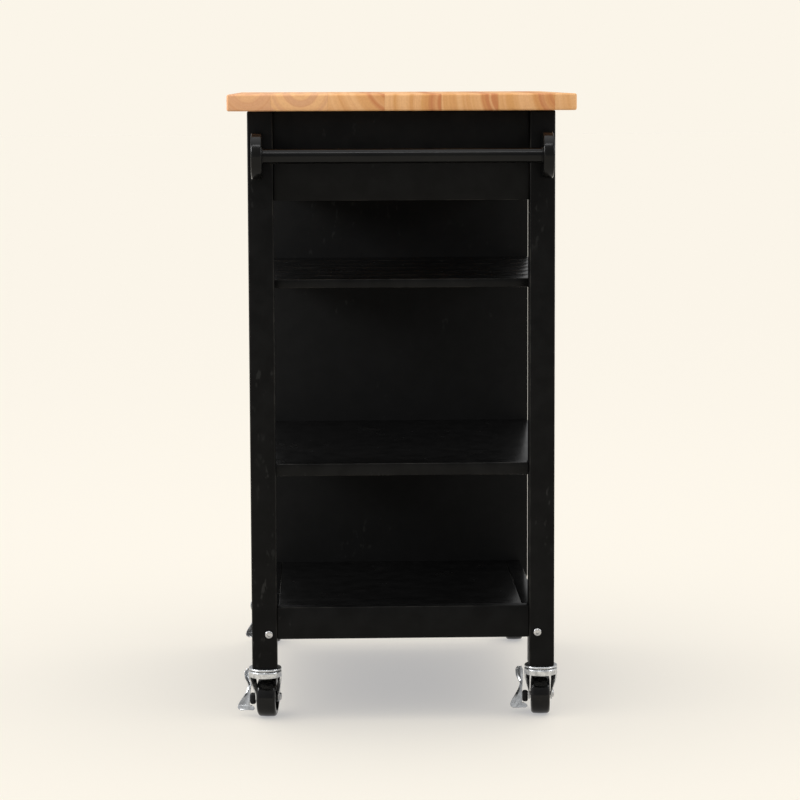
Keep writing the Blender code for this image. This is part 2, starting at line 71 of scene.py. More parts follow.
class Nodes:
    """Short calls for building the node tree of a new material, or of the world."""

    def __init__(self, name, owner=None):
        self.owner = owner or bpy.data.materials.new(name)
        self.owner.use_nodes = True
        self.tree = self.owner.node_tree
        self.shader = self.tree.nodes.get("Principled BSDF")

    def add(self, kind, inputs=None, **settings):
        """Add a node, set its properties, then its inputs by name or number."""
        node = self.tree.nodes.new(kind)
        for key, value in settings.items():
            setattr(node, key, value)
        for key, value in (inputs or {}).items():
            self.put(node.inputs[key], value)
        return node

    def put(self, socket, value):
        """Link a socket, or set its value."""
        if isinstance(value, bpy.types.NodeSocket):
            self.tree.links.new(value, socket)
        else:
            socket.default_value = value

    def place(self, scale=(1.0, 1.0, 1.0)):
        """The object's own coordinates in metres, scaled."""
        coordinates = self.add("ShaderNodeTexCoord").outputs["Object"]
        mapping = self.add("ShaderNodeMapping", {"Vector": coordinates, "Scale": scale})
        return mapping.outputs["Vector"]

    def math(self, operation, first, second=0.0, third=0.0):
        """One Math node."""
        node = self.add("ShaderNodeMath", {0: first, 1: second, 2: third}, operation=operation)
        return node.outputs[0]

    def noise(self, vector, scale, detail=3.0, roughness=0.55):
        """A noise texture's value."""
        node = self.add("ShaderNodeTexNoise", {
            "Vector": vector, "Scale": scale, "Detail": detail, "Roughness": roughness,
        })
        return node.outputs["Fac"]

    def ramp(self, value, low, high, first=0.0, last=1.0):
        """Map a range smoothly onto another."""
        node = self.add("ShaderNodeMapRange", {
            "Value": value, "From Min": low, "From Max": high, "To Min": first, "To Max": last,
        }, interpolation_type="SMOOTHSTEP")
        return node.outputs["Result"]

    def mix(self, factor, first, second):
        """Mix two colours."""
        node = self.add("ShaderNodeMix", {"Factor": factor}, data_type="RGBA")
        self.put(node.inputs[6], first)
        self.put(node.inputs[7], second)
        return node.outputs[2]

    def bump(self, height, strength, distance):
        """A Bump node."""
        node = self.add("ShaderNodeBump", {"Height": height, "Strength": strength, "Distance": distance})
        return node.outputs["Normal"]

    def finish(self, **sockets):
        """Put the results on the Principled shader."""
        for key, value in sockets.items():
            self.put(self.shader.inputs[key.replace("_", " ")], value)
        return self.owner

    def arris(self):
        """1 on the rounded arrises of a square board, 0 on its faces."""
        normal = self.add("ShaderNodeNewGeometry").outputs["Normal"]
        split = self.add("ShaderNodeSeparateXYZ", {"Vector": normal})
        sizes = [self.math("ABSOLUTE", split.outputs[index]) for index in range(3)]
        largest = self.math("MAXIMUM", self.math("MAXIMUM", sizes[0], sizes[1]), sizes[2])
        return self.ramp(largest, 0.985, 0.86)


def colour(red, green, blue):
    """A screen colour, 0 to 255, as linear light."""
    parts = []
    for value in (red, green, blue):
        part = value / 255
        parts.append(part / 12.92 if part <= 0.04045 else ((part + 0.055) / 1.055) ** 2.4)
    return (*parts, 1.0)


def grey(level):
    """A screen grey, 0 to 255, as linear light."""
    return colour(level, level, level)


# ---------------------------------------------------------------- materials

WOOD_SHEEN = 0.25
PAINT_SHEEN = 0.10
COATING_SHEEN = 0.17
WHEEL_SHEEN = 0.22
STAVE_WIDTH = 0.0815
STAVE_START = -0.188
STAVE_PIECE = 0.43
STAVE_STAGGER = 0.55
FIRST_JOINT = 0.2
LAST_PLAIN_STAVE = 0
PITH_BEYOND_EDGE = 0.062
PITH_ABOVE_TOP = 0.009
PITH_SPREAD_ACROSS = 0.016
PITH_SPREAD_UP = 0.05
PITH_WANDER = 0.012
HEART_RADIUS = 0.042
HEART_SPREAD = 0.016
BLOCK_HEIGHT = cad_box[1][2]


def wood_block():
    """Edge-glued staves: growth rings round a pith of each stave's own, cut through on every face."""
    nodes = Nodes("butcher_block")
    split = nodes.add("ShaderNodeSeparateXYZ", {"Vector": nodes.place()})
    across, along, up = split.outputs[0], split.outputs[1], split.outputs[2]
    staves_across = nodes.math("DIVIDE", nodes.math("SUBTRACT", across, STAVE_START), STAVE_WIDTH)
    stave = nodes.math("FLOOR", staves_across)
    stave_seed = nodes.math("ADD", stave, 3.7)
    shift = nodes.add("ShaderNodeTexWhiteNoise", {"W": stave_seed}, noise_dimensions="1D")
    from_joint = nodes.math("ADD", along, FIRST_JOINT)
    staggered = nodes.math("MULTIPLY_ADD", shift.outputs["Value"], STAVE_STAGGER, from_joint)
    piece = nodes.math("FLOOR", nodes.math("DIVIDE", staggered, STAVE_PIECE))
    seed = nodes.math("MULTIPLY_ADD", piece, 17.31, nodes.math("MULTIPLY", stave, 5.17))
    random = nodes.add("ShaderNodeTexWhiteNoise", {"W": seed}, noise_dimensions="1D")
    tones = nodes.add("ShaderNodeSeparateColor", {"Color": random.outputs["Color"]})
    pith_x, pith_z, tone = tones.outputs[0], tones.outputs[1], tones.outputs[2]
    middle = nodes.math("MULTIPLY_ADD", nodes.math("ADD", stave, 0.5), STAVE_WIDTH, STAVE_START)
    hearted = nodes.math("GREATER_THAN", stave, LAST_PLAIN_STAVE + 0.5)
    wander = nodes.noise(nodes.place((3.0, 1.2, 3.0)), 2.2, 3.0)
    spread = nodes.math("MULTIPLY", nodes.math("SUBTRACT", pith_x, 0.5), PITH_SPREAD_ACROSS)
    pith_side = nodes.math("MULTIPLY_ADD", hearted, PITH_BEYOND_EDGE, spread)
    wandering = nodes.math("MULTIPLY", nodes.math("SUBTRACT", wander, 0.5), PITH_WANDER)
    from_middle = nodes.math("SUBTRACT", across, middle)
    from_pith = nodes.math("SUBTRACT", from_middle, nodes.math("ADD", pith_side, wandering))
    rise = nodes.math("MULTIPLY", nodes.math("SUBTRACT", pith_z, 0.6), PITH_SPREAD_UP)
    pith_height = nodes.math("MULTIPLY_ADD", hearted, rise, BLOCK_HEIGHT + PITH_ABOVE_TOP)
    above_pith = nodes.math("SUBTRACT", up, pith_height)
    square_across = nodes.math("POWER", nodes.math("ABSOLUTE", from_pith), 2.0)
    square_up = nodes.math("POWER", nodes.math("ABSOLUTE", above_pith), 2.0)
    radius = nodes.math("SQRT", nodes.math("ADD", square_across, square_up))
    slow_along = nodes.math("MULTIPLY", along, 0.02)
    rings_at = nodes.add("ShaderNodeCombineXYZ", {"X": radius, "Y": slow_along, "Z": seed})
    broad = nodes.noise(rings_at.outputs[0], 90.0, 2.0, 0.5)
    fine = nodes.noise(rings_at.outputs[0], 420.0, 2.0, 0.6)
    bands = nodes.noise(rings_at.outputs[0], 180.0, 1.0, 0.4)
    fibre = nodes.noise(nodes.place((420.0, 9.0, 420.0)), 1.0, 3.0, 0.6)
    pores = nodes.noise(nodes.place((1500.0, 60.0, 1500.0)), 1.0, 2.0, 0.7)
    golden = nodes.mix(tone, colour(205, 150, 90), colour(209, 156, 102))
    plain = nodes.mix(hearted, colour(204, 154, 114), golden)
    pale = nodes.mix(nodes.ramp(broad, 0.38, 0.66), plain, colour(219, 170, 120))
    ringed = nodes.mix(nodes.ramp(fine, 0.48, 0.74, 0.0, 0.26), pale, colour(190, 124, 74))
    heart_reach = nodes.math("MULTIPLY_ADD", tone, HEART_SPREAD, HEART_RADIUS)
    inside = nodes.ramp(nodes.math("SUBTRACT", heart_reach, radius), -0.002, 0.005)
    heart = nodes.math("MULTIPLY", inside, hearted)
    redness = nodes.math("MULTIPLY", heart, nodes.ramp(bands, 0.34, 0.60, 0.22, 0.80))
    streaked = nodes.mix(redness, ringed, colour(180, 108, 62))
    fibred = nodes.mix(nodes.ramp(fibre, 0.35, 0.75, 0.0, 0.16), streaked, colour(160, 104, 62))
    saw = nodes.ramp(nodes.noise(nodes.place((1.5, 1.5, 520.0)), 1.0, 1.0), 0.60, 0.74, 0.0, 0.16)
    sawn = nodes.mix(saw, fibred, colour(176, 104, 66))
    from_centre = nodes.math("SUBTRACT", nodes.math("FRACT", staves_across), 0.5)
    glue = nodes.ramp(nodes.math("ABSOLUTE", from_centre), 0.492, 0.499)
    glued = nodes.mix(nodes.math("MULTIPLY", glue, 0.20), sawn, colour(140, 86, 48))
    height = nodes.math("MULTIPLY_ADD", fine, 0.4, nodes.math("MULTIPLY_ADD", fibre, 0.4, pores))
    normal = nodes.bump(nodes.math("MULTIPLY_ADD", glue, -0.8, height), 0.22, 0.0004)
    rough = nodes.math("MULTIPLY_ADD", fibre, 0.16, 0.46)
    return nodes.finish(Base_Color=glued, Roughness=rough, Normal=normal, Specular_IOR_Level=WOOD_SHEEN)


def black_paint(name, grain_axis, tone=4, roughness=0.36, sheen=PAINT_SHEEN, relief=0.22, spread=7):
    """Matt black over open-grained wood, thinner and greyer on the arrises."""
    nodes = Nodes(name)
    stretch = [260.0, 260.0, 260.0]
    stretch["XYZ".index(grain_axis)] = 7.0
    grain = nodes.noise(nodes.place(tuple(stretch)), 1.0, 4.0, 0.65)
    mottle = nodes.noise(nodes.place(), 34.0, 4.0, 0.6)
    specks = nodes.noise(nodes.place(), 900.0, 2.0, 0.6)
    dust = nodes.ramp(nodes.noise(nodes.place(), 9.0, 5.0, 0.7), 0.58, 0.80)
    worn = nodes.math("MULTIPLY", nodes.arris(), nodes.ramp(mottle, 0.42, 0.66, 0.10, 0.60))
    paint = nodes.mix(nodes.ramp(mottle, 0.3, 0.7), grey(tone), grey(tone + spread))
    dusty = nodes.mix(nodes.math("MULTIPLY", dust, 0.12), paint, colour(38, 37, 34))
    flecks = nodes.ramp(nodes.noise(nodes.place((1.0, 1.0, 0.45)), 110.0, 2.0), 0.62, 0.72)
    handled = nodes.ramp(nodes.noise(nodes.place(), 7.0, 1.0), 0.58, 0.70, 0.0, 0.55)
    rubbed = nodes.math("MULTIPLY", flecks, handled)
    scuffed = nodes.mix(rubbed, dusty, colour(46, 46, 45))
    edged = nodes.mix(worn, scuffed, colour(48, 46, 42))
    height = nodes.math("MULTIPLY_ADD", specks, 0.25, grain)
    normal = nodes.bump(height, relief, 0.0004)
    rough = nodes.math("MULTIPLY_ADD", dust, 0.12, nodes.math("MULTIPLY_ADD", mottle, 0.16, roughness))
    return nodes.finish(Base_Color=edged, Roughness=rough, Normal=normal, Specular_IOR_Level=sheen)


def bar_coating():
    """Smooth black powder coat with a faint orange peel."""
    nodes = Nodes("bar_coating")
    peel = nodes.noise(nodes.place(), 700.0, 2.0, 0.5)
    smear = nodes.noise(nodes.place((8.0, 30.0, 30.0)), 1.5, 3.0, 0.6)
    shade = nodes.mix(nodes.ramp(smear, 0.35, 0.7), grey(6), colour(13, 13, 12))
    rough = nodes.math("MULTIPLY_ADD", smear, 0.12, 0.10)
    return nodes.finish(Base_Color=shade, Roughness=rough, Normal=nodes.bump(peel, 0.10, 0.0002),
                        Specular_IOR_Level=COATING_SHEEN)


def plated(name, pale, dull, roughness, streak):
    """Bright plating with rolling marks, dull smudges and grime."""
    nodes = Nodes(name)
    rolling = nodes.noise(nodes.place(streak), 1.0, 3.0, 0.6)
    smudge = nodes.noise(nodes.place(), 160.0, 4.0, 0.6)
    grime = nodes.ramp(nodes.noise(nodes.place(), 70.0, 4.0, 0.65), 0.56, 0.78)
    clean = nodes.mix(nodes.ramp(smudge, 0.35, 0.68), colour(*pale), colour(*dull))
    dirty = nodes.mix(nodes.math("MULTIPLY", grime, 0.35), clean, colour(96, 92, 84))
    rough = nodes.math("MULTIPLY_ADD", smudge, 0.22, nodes.math("MULTIPLY_ADD", grime, 0.15, roughness))
    normal = nodes.bump(rolling, 0.10, 0.0003)
    return nodes.finish(Base_Color=dirty, Roughness=rough, Metallic=1.0, Normal=normal)


def gloss_wheel():
    """Gloss black tread with fine scratches and pale dust where it rolls."""
    nodes = Nodes("wheel_black")
    scratches = nodes.noise(nodes.place(), 420.0, 3.0, 0.7)
    patches = nodes.noise(nodes.place(), 120.0, 4.0, 0.6)
    dust = nodes.ramp(patches, 0.50, 0.76, 0.0, 0.30)
    shade = nodes.mix(dust, grey(9), colour(40, 38, 34))
    rough = nodes.math("MULTIPLY_ADD", patches, 0.14, 0.07)
    return nodes.finish(Base_Color=shade, Roughness=rough, Normal=nodes.bump(scratches, 0.08, 0.0002),
                        Specular_IOR_Level=WHEEL_SHEEN)


def moulded_plastic():
    """Dull black moulded plastic."""
    nodes = Nodes("cam_plastic")
    pits = nodes.noise(nodes.place(), 1300.0, 2.0, 0.6)
    patches = nodes.noise(nodes.place(), 150.0, 3.0, 0.6)
    shade = nodes.mix(patches, grey(8), grey(18))
    rough = nodes.math("MULTIPLY_ADD", patches, 0.2, 0.42)
    return nodes.finish(Base_Color=shade, Roughness=rough, Normal=nodes.bump(pits, 0.2, 0.0002),
                        Specular_IOR_Level=WHEEL_SHEEN)


# ---------------------------------------------------------------- mesh helpers

SHEET_CREASE = 40
TURNED_CREASE = 35
WHEEL_CREASE = 32


def make_piece(name, bm, material, slot, body, *replaced, smooth):
    """Turn a bmesh into a piece that rides on a body and stands for CAD nodes."""
    bmesh.ops.recalc_face_normals(bm, faces=bm.faces)
    mesh = bpy.data.meshes.new(name)
    bm.to_mesh(mesh)
    bm.free()
    mesh.materials.append(material)
    mesh.shade_smooth()
    mesh.set_sharp_from_angle(angle=math.radians(smooth))
    piece = bpy.data.objects.new(name, mesh)
    bpy.context.scene.collection.objects.link(piece)
    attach(piece, body)
    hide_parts(*replaced)
    return piece


def board_bmesh(low, high, radius, segments):
    """A square board with rounded arrises."""
    bm = bmesh.new()
    bmesh.ops.create_cube(bm, size=1.0)
    size = Vector(high) - Vector(low)
    middle = (Vector(high) + Vector(low)) / 2
    place = Matrix.Translation(middle) @ Matrix.Diagonal((*size, 1.0))
    bmesh.ops.transform(bm, matrix=place, verts=bm.verts)
    bmesh.ops.bevel(bm, geom=bm.edges[:], offset=radius, segments=segments, profile=0.5, affect="EDGES")
    return bm


def turned_bmesh(profile, sides, shape=None):
    """Turn an outline of (radius, along) round the X axis; shape scales a radius by its angle."""
    bm = bmesh.new()
    rings = []
    for radius, along in profile:
        if radius == 0.0:
            rings.append([bm.verts.new((along, 0.0, 0.0))])
            continue
        ring = []
        for index in range(sides):
            angle = 2 * math.pi * index / sides
            reach = radius * (shape(radius, angle) if shape else 1.0)
            ring.append(bm.verts.new((along, reach * math.cos(angle), reach * math.sin(angle))))
        rings.append(ring)
    pairs = list(zip(rings, rings[1:]))
    if profile[0][0] > 0.0:
        pairs.append((rings[-1], rings[0]))
    for upper, lower in pairs:
        for index in range(sides):
            following = (index + 1) % sides
            if len(upper) == 1:
                bm.faces.new((upper[0], lower[index], lower[following]))
            elif len(lower) == 1:
                bm.faces.new((upper[index], lower[0], upper[following]))
            else:
                bm.faces.new((upper[index], lower[index], lower[following], upper[following]))
    return bm


def round_corner(radius, along, fillet, start, end, steps):
    """Outline points round a fillet centred at (radius, along), between two angles in degrees."""
    points = []
    for index in range(steps + 1):
        angle = math.radians(start + (end - start) * index / steps)
        points.append((radius + fillet * math.sin(angle), along + fillet * math.cos(angle)))
    return points


def moved(bm, matrix):
    """Move a bmesh to its place."""
    bmesh.ops.transform(bm, matrix=matrix, verts=bm.verts)
    return bm


# ---------------------------------------------------------------- boards

def build_boards(materials, shelf_materials_painted_light, panel_material_painted_light):
    """Every board, post and slat, with softer arrises than its CAD node."""
    for corner in CORNERS:
        add_board(f"post_{corner}", materials["Z"], "frame_paint", 0.0024, 5)
    for kind in ("apron", "rail"):
        for end in ("front", "rear"):
            add_board(f"end_{kind}_{end}", materials["X"], "frame_paint", 0.0011, 3)
        for side in SIDES:
            # Side rails, shelves, cleats and the back panel take the lighter copies of the black paint: painted
            # light for the shaded inside.
            paint = shelf_materials_painted_light["X"] if kind == "rail" else materials["Y"]
            add_board(f"side_{kind}_{side}", paint, "frame_paint", 0.0005, 3)
    for number in range(1, 7):
        add_board(f"shelf_slat_{number}", shelf_materials_painted_light["X"], "shelf_paint", 0.0015, 4)
    for stem in ("slat_cleat", "middle_cleat"):
        for side in SIDES:
            add_board(f"{stem}_{side}", shelf_materials_painted_light["Y"], "shelf_paint", 0.0011, 3)
    add_board("bottom_shelf", shelf_materials_painted_light["X"], "shelf_paint", 0.0005, 3)
    # The back panel takes the lightest copy of the black paint: painted light on the shaded back wall.
    add_board("back_panel", panel_material_painted_light, "shelf_paint", 0.0010, 3)


def add_board(node, material, slot, radius, segments):
    """One board in place of its CAD node."""
    low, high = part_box(node)
    bm = board_bmesh(low, high, radius, segments)
    make_piece(f"{node}_board", bm, material, slot, "cart", node, smooth=SHEET_CREASE)


GAP = 0.0003


def build_middle_shelf(material):
    """The middle shelf, notched round the front posts."""
    low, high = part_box("middle_shelf")
    post_low, post_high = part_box("post_front_right")
    inset = abs(high[0] - post_high[0])
    narrow = post_low[0] - inset - GAP
    shoulder = post_high[1] + GAP
    outline = [
        (-narrow, low[1]), (narrow, low[1]), (narrow, shoulder), (high[0], shoulder),
        (high[0], high[1]), (low[0], high[1]), (low[0], shoulder), (-narrow, shoulder),
    ]
    bm = bmesh.new()
    base = bm.faces.new([bm.verts.new((x, y, low[2])) for x, y in outline])
    sweep = bmesh.ops.extrude_face_region(bm, geom=[base])
    raised = [item for item in sweep["geom"] if isinstance(item, bmesh.types.BMVert)]
    bmesh.ops.translate(bm, vec=(0.0, 0.0, high[2] - low[2]), verts=raised)
    flat = [edge for edge in bm.edges if abs(edge.verts[0].co.z - edge.verts[1].co.z) < 1e-6]
    bmesh.ops.bevel(bm, geom=flat, offset=0.0014, segments=4, profile=0.5, affect="EDGES")
    make_piece("middle_shelf_board", bm, material, "shelf_paint", "cart", "middle_shelf",
               smooth=SHEET_CREASE)


def build_block(material):
    """The wooden top, with its arrises eased."""
    low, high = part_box("block_top")
    bm = board_bmesh(low, high, 0.0030, 6)
    make_piece("block_top_wood", bm, material, "butcher_block", "cart", "block_top", smooth=SHEET_CREASE)


# ---------------------------------------------------------------- towel bar and bolts

ROUND_SIDES = 72
BAR_CHAMFER = 0.0008
BOLT_SIDES = 48
BOLT_HEAD = 0.0035
BOLT_SHANK_RADIUS = 0.0030
SOCKET_RADIUS = 0.0029


def build_towel_bar(material):
    """The round bar and its two D-shaped brackets."""
    low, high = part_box("towel_bar")
    radius = (high[2] - low[2]) / 2
    half = (high[0] - low[0]) / 2
    profile = [(0.0, half), (radius - BAR_CHAMFER, half), (radius, half - BAR_CHAMFER)]
    profile += [(r, -a) for r, a in reversed(profile)]
    middle = [(low[axis] + high[axis]) / 2 for axis in range(3)]
    bar = moved(turned_bmesh(profile, ROUND_SIDES), Matrix.Translation(middle))
    make_piece("towel_bar_tube", bar, material, "bar_coating", "cart", "towel_bar", smooth=SHEET_CREASE)
    for side, sign in SIDES.items():
        build_bracket(side, sign, material, middle, radius)


def build_bracket(side, sign, material, bar_middle, bar_radius):
    """One bracket: a D-shaped cheek with soft rims and a shallow boss round the bar."""
    node = f"towel_bar_bracket_{side}"
    low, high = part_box(node)
    nose = (high[2] - low[2]) / 2
    centre_y = low[1] + nose
    centre_z = (low[2] + high[2]) / 2
    steps = 48
    outline = [(high[1], high[2])]
    for step in range(steps + 1):
        angle = math.pi * step / steps
        outline.append((centre_y - nose * math.sin(angle), centre_z + nose * math.cos(angle)))
    outline.append((high[1], low[2]))
    bm = bmesh.new()
    base = bm.faces.new([bm.verts.new((low[0], y, z)) for y, z in outline])
    sweep = bmesh.ops.extrude_face_region(bm, geom=[base])
    pushed = [item for item in sweep["geom"] if isinstance(item, bmesh.types.BMVert)]
    bmesh.ops.translate(bm, vec=(high[0] - low[0], 0.0, 0.0), verts=pushed)
    rims = [
        edge for edge in bm.edges
        if abs(edge.verts[0].co.x - edge.verts[1].co.x) < 1e-7
        and not all(abs(vert.co.y - high[1]) < 1e-7 for vert in edge.verts)
    ]
    bmesh.ops.bevel(bm, geom=rims, offset=0.0024, segments=5, profile=0.5, affect="EDGES")
    make_piece(f"{node}_cheek", bm, material, "bar_coating", "cart", node, smooth=SHEET_CREASE)
    inner = low[0] if sign > 0 else high[0]
    collar = [(bar_radius + 0.0002, 0.0), (bar_radius + 0.0022, 0.0), (bar_radius + 0.0020, 0.0009),
              (bar_radius + 0.0012, 0.0014), (bar_radius + 0.0002, 0.0014)]
    turn = Matrix.Rotation(math.pi if sign > 0 else 0.0, 4, "Z")
    place = Matrix.Translation((inner, bar_middle[1], bar_middle[2])) @ turn
    ring = moved(turned_bmesh(collar, ROUND_SIDES), place)
    make_piece(f"bar_collar_{side}", ring, material, "bar_coating", "cart", smooth=SHEET_CREASE)


def hex_socket(radius, angle):
    """Make the small inner radii six-sided."""
    if radius > SOCKET_RADIUS:
        return 1.0
    return math.cos(math.pi / 6) / math.cos(angle % (math.pi / 3) - math.pi / 6)


def build_bolts(material):
    """Domed bolt heads with a hexagon socket, on their shanks."""
    for corner in CORNERS:
        node = f"rail_bolt_{corner}"
        low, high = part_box(node)
        length = high[1] - low[1]
        radius = (high[0] - low[0]) / 2
        profile = [(0.0, 0.0019), (0.0026, 0.0019), (0.0028, 0.0003), (0.0034, 0.0)]
        profile += [(0.0034 + 0.0024 * math.sin(angle), 0.0019 * (1 - math.cos(angle)))
                    for angle in (math.radians(step) for step in (15, 35, 55, 75, 90))]
        profile += [(radius, BOLT_HEAD - 0.0003), (BOLT_SHANK_RADIUS, BOLT_HEAD - 0.0003)]
        profile += [(BOLT_SHANK_RADIUS, length), (0.0, length)]
        outward = -1 if corner.startswith("front") else 1
        head_y = low[1] if outward < 0 else high[1]
        place = Matrix.Translation(((low[0] + high[0]) / 2, head_y, (low[2] + high[2]) / 2))
        turn = Matrix.Rotation(-outward * math.pi / 2, 4, "Z")
        bm = moved(turned_bmesh(profile, BOLT_SIDES, hex_socket), place @ turn)
        make_piece(f"{node}_steel", bm, material, "bolt_steel", "cart", node, smooth=TURNED_CREASE)


# ---------------------------------------------------------------- casters

RACE_RADIUS = 0.0245
RACE_BOTTOM = 0.0775
CROWN_TOP = 0.0767
CROWN_BOTTOM = 0.068
SHEET = 0.0021
WHEEL_TRAIL = 0.028
WHEEL_RADIUS = 0.030
WHEEL_WIDTH = 0.028
LEG_END_X = 0.0178
LEG_END_RADIUS = 0.0085
CAM_INNER_X = 0.0184
CAM_OUTER_X = 0.0268
CAM_BOSS_RADIUS = 0.0048
CAM_LOBE_RADIUS = 0.0064
CAM_LOBE_DROP = 0.0062
LEVER_SHEET = 0.0017
SHEET_RIM = 0.0005
LEVER_SLOPE = 0.42
AXLE_RADIUS = 0.0030
RIVET_RADIUS = 0.0056


def caster_place(corner):
    """The caster's own frame, with the swivel axis at its origin and the wheel trailing to +Y, and its axle."""
    low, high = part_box(f"caster_mount_{corner}")
    roll = JOINTS[f"wheel_roll_{corner}"]
    yaw = math.atan2(roll["axis"][1], roll["axis"][0])
    origin = ((low[0] + high[0]) / 2, (low[1] + high[1]) / 2, 0.0)
    return Matrix.Translation(origin) @ Matrix.Rotation(yaw, 4, "Z"), roll["pos_m"]


def mount_bmesh(disc_top, stem_top):
    """Race disc with a rolled rim, stem and kingpin head."""
    disc_bottom = RACE_BOTTOM
    rim = (disc_top - disc_bottom) / 2
    profile = [(0.0, stem_top), (0.0034, stem_top), (0.0040, stem_top - 0.0008), (0.0040, disc_top)]
    profile += round_corner(RACE_RADIUS - rim, disc_bottom + rim, rim, 0, 180, 10)
    head_top = CROWN_TOP - 0.0025
    profile += [(0.0180, disc_bottom), (0.0050, disc_bottom), (0.0050, head_top), (0.0085, head_top)]
    profile += [(0.0080, 0.0722), (0.0060, 0.0708), (0.0, 0.0704)]
    return moved(turned_bmesh(profile, ROUND_SIDES), Matrix.Rotation(-math.pi / 2, 4, "Y"))


def fork_bmesh():
    """Pressed sheet fork: crown, then two round-walled legs drawn in to flat eyes round the axle."""
    bm = bmesh.new()
    rim = fork_crown(bm)
    for sign in SIDES.values():
        if sign > 0:
            sector = range(-1, 10)
        else:
            sector = range(ROUND_SIDES // 2 + 1, ROUND_SIDES // 2 - 10, -1)
        fork_leg(bm, sign, [rim[index % ROUND_SIDES] for index in sector])
    return bm


def fork_crown(bm):
    """The fork's round crown; returns the vertices of its lower rim."""
    bend = 0.0022
    crown = [(0.0053, CROWN_TOP), (0.0120, CROWN_TOP), (0.0185, CROWN_TOP)]
    crown += round_corner(RACE_RADIUS - bend, CROWN_TOP - bend, bend, 15, 90, 5)
    crown += [(RACE_RADIUS, CROWN_BOTTOM + 0.0032), (RACE_RADIUS, CROWN_BOTTOM)]
    turns = [2 * math.pi * index / ROUND_SIDES for index in range(ROUND_SIDES)]
    rows = []
    for radius, height in crown:
        rows.append([
            bm.verts.new((radius * math.cos(turn), radius * math.sin(turn), height))
            for turn in turns
        ])
    for upper, lower in zip(rows, rows[1:]):
        for index in range(ROUND_SIDES):
            following = (index + 1) % ROUND_SIDES
            bm.faces.new((upper[index], lower[index], lower[following], upper[following]))
    return rows[-1]


def fork_leg(bm, sign, upper):
    """One leg, from a sector of the crown's rim down to the flat eye round the axle."""
    steps = 14
    start = [vert.co.copy() for vert in upper]
    middle = (start[0].y + start[-1].y) / 2
    half = (start[-1].y - start[0].y) / 2
    spans = [(point.y - middle) / half for point in start]
    stations = []
    for step in range(1, steps + 1):
        part = step / steps
        eased = part * part * (3 - 2 * part)
        height = CROWN_BOTTOM + (WHEEL_RADIUS - CROWN_BOTTOM) * part
        centre = middle + (WHEEL_TRAIL - middle) * eased
        stations.append((height, centre, half + (LEG_END_RADIUS - half) * eased, eased))
    for degrees in range(12, 85, 12):
        angle = math.radians(degrees)
        height = WHEEL_RADIUS - LEG_END_RADIUS * math.sin(angle)
        stations.append((height, WHEEL_TRAIL, LEG_END_RADIUS * math.cos(angle), 1.0))
    for height, centre, reach, flat in stations:
        lower = []
        for point, span in zip(start, spans):
            across = abs(point.x) + (LEG_END_X - abs(point.x)) * flat
            lower.append(bm.verts.new((sign * across, centre + reach * span, height)))
        for index in range(len(lower) - 1):
            bm.faces.new((upper[index], lower[index], lower[index + 1], upper[index + 1]))
        upper = lower


def wheel_bmesh():
    """Wheel about its axle: crowned tread, round shoulders, ribbed dished sides and a proud hub."""
    half = WHEEL_WIDTH / 2
    radius = WHEEL_RADIUS
    shoulder = 0.0050
    hub = [(0.0033, half + 0.0008), (0.0072, half + 0.0008), (0.0079, half + 0.0002)]
    dish = [(0.0086, half - 0.0030), (0.0140, half - 0.0032), (0.0146, half - 0.0026)]
    dish += [(0.0152, half - 0.0032), (0.0198, half - 0.0030), (0.0206, half - 0.0012), (0.0214, half)]
    side = hub + dish
    side += round_corner(radius - 0.0004 - shoulder, half - shoulder, shoulder, 0, 90, 9)
    side += [(radius - 0.0001, 0.0035), (radius, 0.0004)]
    other = [(r, -a) for r, a in reversed(side)]
    return turned_bmesh(side + other, 112)


def axle_bmesh():
    """Axle with a domed rivet head outside the right leg."""
    left = 0.0025 - CAM_OUTER_X
    right = LEG_END_X + 0.0003
    profile = [(0.0, left), (AXLE_RADIUS - 0.0004, left), (AXLE_RADIUS, left + 0.0004)]
    profile += [(AXLE_RADIUS, right), (RIVET_RADIUS, right)]
    profile += [(RIVET_RADIUS * math.cos(angle), right + 0.0010 + 0.0018 * math.sin(angle))
                for angle in (math.radians(step) for step in (0, 20, 40, 60, 78))]
    profile += [(0.0, right + 0.0028)]
    return turned_bmesh(profile, BOLT_SIDES)


def cam_bmesh():
    """Moulded cam: a round boss with a hanging lobe and eased rims."""
    steps = 20
    angles = [math.pi * step / steps for step in range(steps + 1)]
    outline = [(CAM_BOSS_RADIUS * math.cos(angle), CAM_BOSS_RADIUS * math.sin(angle))
               for angle in angles]
    outline += [(-CAM_LOBE_RADIUS * math.cos(angle), -CAM_LOBE_DROP - CAM_LOBE_RADIUS * math.sin(angle))
                for angle in angles]
    bm = bmesh.new()
    base = bm.faces.new([bm.verts.new((-CAM_OUTER_X, y, z)) for y, z in outline])
    sweep = bmesh.ops.extrude_face_region(bm, geom=[base])
    pushed = [item for item in sweep["geom"] if isinstance(item, bmesh.types.BMVert)]
    bmesh.ops.translate(bm, vec=(CAM_OUTER_X - CAM_INNER_X, 0.0, 0.0), verts=pushed)
    rims = [edge for edge in bm.edges if abs(edge.verts[0].co.x - edge.verts[1].co.x) < 1e-7]
    bmesh.ops.bevel(bm, geom=rims, offset=0.0030, segments=6, profile=0.5, affect="EDGES")
    return bm


LEVER_STATIONS = [
    (0.0375, -0.0322, -0.0288), (0.0368, -0.0342, -0.0272), (0.0340, -0.0364, -0.0259),
    (0.0295, -0.0369, -0.0257), (0.0240, -0.0354, -0.0258), (0.0190, -0.0321, -0.0260),
    (0.0140, -0.0303, -0.0265), (0.0080, -0.0317, -0.0271), (0.0000, -0.0364, -0.0271),
    (-0.0080, -0.0418, -0.0271), (-0.0129, -0.0443, -0.0268),
    (-0.0137, -0.0446, -0.0228), (-0.0150, -0.0447, -0.0204), (-0.0168, -0.0443, -0.0194),
    (-0.0186, -0.0428, -0.0196), (-0.0200, -0.0392, -0.0216),
]


